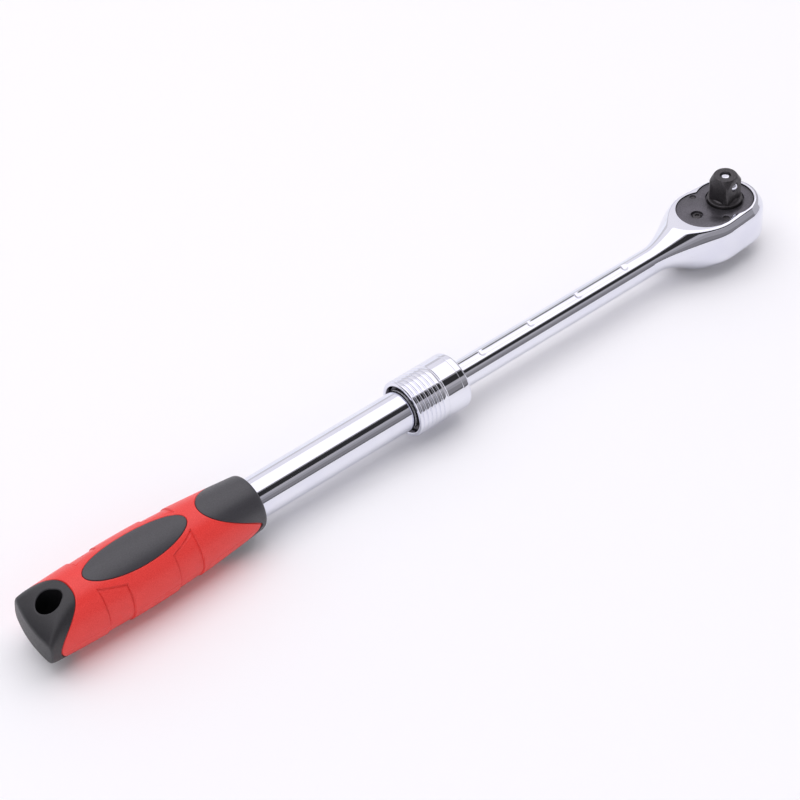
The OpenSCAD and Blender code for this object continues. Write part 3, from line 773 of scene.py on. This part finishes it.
def end_cap():
    sides = 400
    a = np.linspace(0, 2 * math.pi, sides, endpoint=False)
    edge = edge_on_grip(cap_gap, a, *CAP_EDGE_SEARCH)
    out = np.stack([np.zeros(sides), np.sin(a), np.cos(a)], axis=1)
    along = np.array([1.0, 0, 0])

    def at(x, r):
        return along * np.broadcast_to(x, sides)[:, None] + out * np.broadcast_to(r, sides)[:, None]

    def surface(x):
        start = at(x, 0)
        return cast(start, out, cap_field, FAR_SEARCH)

    points = [at(CORE_END + 0.1, CORE_R), at(edge, CORE_R), at(edge, grip_radius(edge) - SEAM_DEPTH - 0.3)]
    for t in np.linspace(math.pi / 2, 0, 6)[:-1]:
        x = edge + EDGE_ROUND - EDGE_ROUND * math.sin(t)
        points.append(at(x, surface(x) - EDGE_ROUND * (1 - math.cos(t))))
    for s in np.linspace(0, 1, 70):
        x = edge + EDGE_ROUND + (TAIL_PIVOT_X - edge - EDGE_ROUND) * s
        points.append(at(x, surface(x)))
    for b in np.linspace(0, math.pi / 2 - 0.004, 110)[1:]:
        way = along * math.sin(b) + out * math.cos(b)
        start = at(TAIL_PIVOT_X, 0)
        points.append(start + way * cast(start, way, cap_field, FAR_SEARCH)[:, None])
    # The tail cap takes the darker copy of the soft black, which is painted shade.
    obj = skin("soft_tail", np.array(points), TAIL, GRIP_TURN)
    cut(obj, hole_cutter())
    sharp_by_angle(obj, CAP_CREASE_ANGLE)
    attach(obj, "handle")
    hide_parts("end_cap")


# ---- CAD pieces shown as they are ------------------------------------------------------------------


WELD_DISTANCE = 1e-6
CAD_EDGE_WIDTH = 0.15
CAD_EDGE_ANGLE = 38


def finish_cad_nodes(drawn_again):
    slots = {s["node"]: s["material_slot"] for s in frame["record"]["subparts"]}
    for name, obj in frame["nodes"].items():
        obj.data.materials.clear()
        # The cover plate takes the lighter copy of the black phosphate, painted light for its lit face.
        material = PLATE if name == "cover_plate" else SLOT_MATERIALS[slots[name]]
        obj.data.materials.append(material)
        if name in drawn_again:
            continue
        for polygon in obj.data.polygons:
            polygon.use_smooth = True
        weld = obj.modifiers.new("weld", "WELD")
        weld.merge_threshold = WELD_DISTANCE
        edge = obj.modifiers.new("edge", "BEVEL")
        edge.width = CAD_EDGE_WIDTH * MM
        edge.segments = 2
        edge.limit_method = "ANGLE"
        edge.angle_limit = math.radians(CAD_EDGE_ANGLE)
        edge.harden_normals = True


# ---- Floor, light and camera ------------------------------------------------------------------------


FLOOR_HALF = 12
FLOOR_GAP = 0.0001


def floor(lowest):
    material, tree, shader = new_material("floor", (0.93, 0.93, 0.94), 0.7)
    bump(tree, shader, noise(tree, 40, 3), 0.05, 0.1)
    half = FLOOR_HALF
    verts = [(-half, -half, lowest), (half, -half, lowest), (half, half, lowest), (-half, half, lowest)]
    obj = new_object("floor", verts, [(0, 1, 2, 3)], material, smooth=False)


# Each side card is its lower and upper angle above the horizon on the tool's near side, and its brightness
SKY_STRENGTH = 1.1
CARD_DISTANCE = 3.2
END_CARD_X = 3.5
SIDE_CARDS = [(-1, 5, 0.14), (5, 20, 0.24), (20, 30, 0.34), (30, 40, 0.45), (40, 62, 0.03), (62, 67, 0.3),
              (67, 127, 1.3), (127, 152, 0.92), (152, 165, 0.7)]


def glow(name, colour):
    material = bpy.data.materials.new(name)
    material.use_nodes = True
    tree = material.node_tree
    tree.nodes.clear()
    emission = tree.nodes.new("ShaderNodeEmission")
    emission.inputs["Color"].default_value = (*colour, 1)
    out = tree.nodes.new("ShaderNodeOutputMaterial")
    tree.links.new(emission.outputs["Emission"], out.inputs["Surface"])
    return material


def card(name, verts, faces, brightness):
    """A studio card seen only in reflections."""
    colour = [brightness * tint for tint in (1, 0.97, 1.03)]
    obj = new_object(name, verts, faces, glow(name, colour), smooth=False)
    obj.visible_camera = False
    obj.visible_shadow = False


def side_card(name, low, high, brightness):
    """A long curved card beside the tool, between two angles above the horizon."""
    verts = [(x, CARD_DISTANCE * math.cos(t), CARD_DISTANCE * math.sin(t))
             for t in np.radians(np.linspace(low, high, 9)) for x in (-END_CARD_X, END_CARD_X)]
    faces = [(2 * k, 2 * k + 1, 2 * k + 3, 2 * k + 2) for k in range(8)]
    card(name, verts, faces, brightness)


def end_card(name, x, y0, y1, brightness):
    """An upright card across the line of the tool, which gives ribs and edges their light and dark sides."""
    top = CARD_DISTANCE
    card(name, [(x, y0, 0), (x, y1, 0), (x, y1, top), (x, y0, top)], [(0, 1, 2, 3)], brightness)


def soft_lamp(name, place, power):
    """A large soft lamp that lights the dull surfaces but is not seen in the chrome."""
    data = bpy.data.lights.new(name, "AREA")
    data.shape = "RECTANGLE"
    data.size, data.size_y = 2.4, 1.8
    data.energy = power
    obj = bpy.data.objects.new(name, data)
    obj.location = place
    aim = Vector((0.25, 0, 0)) - Vector(place)
    obj.rotation_euler = aim.to_track_quat("-Z", "Y").to_euler()
    obj.visible_glossy = False
    bpy.context.scene.collection.objects.link(obj)


def studio():
    world = bpy.data.worlds.new("studio")
    bpy.context.scene.world = world
    world.use_nodes = True
    sky = world.node_tree.nodes["Background"]
    sky.inputs["Color"].default_value = (0.9, 0.9, 0.96, 1)
    sky.inputs["Strength"].default_value = SKY_STRENGTH
    for low, high, brightness in SIDE_CARDS:
        side_card("card_%d" % low, low, high, brightness)
    end_card("card_tail_far", END_CARD_X, -CARD_DISTANCE, 0, 0.08)
    end_card("card_tail_near", END_CARD_X, 0, CARD_DISTANCE, 1.0)
    end_card("card_head_end", -END_CARD_X, -CARD_DISTANCE, CARD_DISTANCE, 0.5)
    soft_lamp("overhead", (0.2, -0.2, 1.8), 9)
    soft_lamp("near_fill", (0.4, 1.6, 0.7), 6)


CAMERA_PLACE = (0.84321, 0.79538, 0.87118)
CAMERA_TURN = (217.7603, 41.1071, 3.8636)
CAMERA_LENS = 121.5


def camera():
    data = bpy.data.cameras.new("camera")
    data.sensor_width = 36
    data.lens = CAMERA_LENS
    data.clip_start = 0.05
    data.clip_end = 40
    obj = bpy.data.objects.new("camera", data)
    yaw, pitch, roll = (math.radians(d) for d in CAMERA_TURN)
    tilt = Matrix.Rotation(pitch - math.pi / 2, 3, "X")
    turn = Matrix.Rotation(roll, 3, "Z") @ tilt @ Matrix.Rotation(yaw, 3, "Z")
    obj.matrix_world = Matrix.Translation(CAMERA_PLACE) @ turn.transposed().to_4x4()
    bpy.context.scene.collection.objects.link(obj)
    bpy.context.scene.camera = obj


DRAWN_AGAIN = {"head_and_rod", "locking_collar", "outer_tube", "grip_body", "front_cuff",
               "upper_oval_pad", "lower_oval_pad", "end_cap"}
finish_cad_nodes(DRAWN_AGAIN)
forging()
locking_collar()
outer_tube()
red_body()
front_cuff()
oval_pad("soft_upper_pad", "upper_oval_pad", 1)
oval_pad("soft_lower_pad", "lower_oval_pad", -1)
end_cap()
floor(cad_bounds[0].z - FLOOR_GAP)
studio()
camera()
bpy.context.scene.view_settings.view_transform = "Standard"
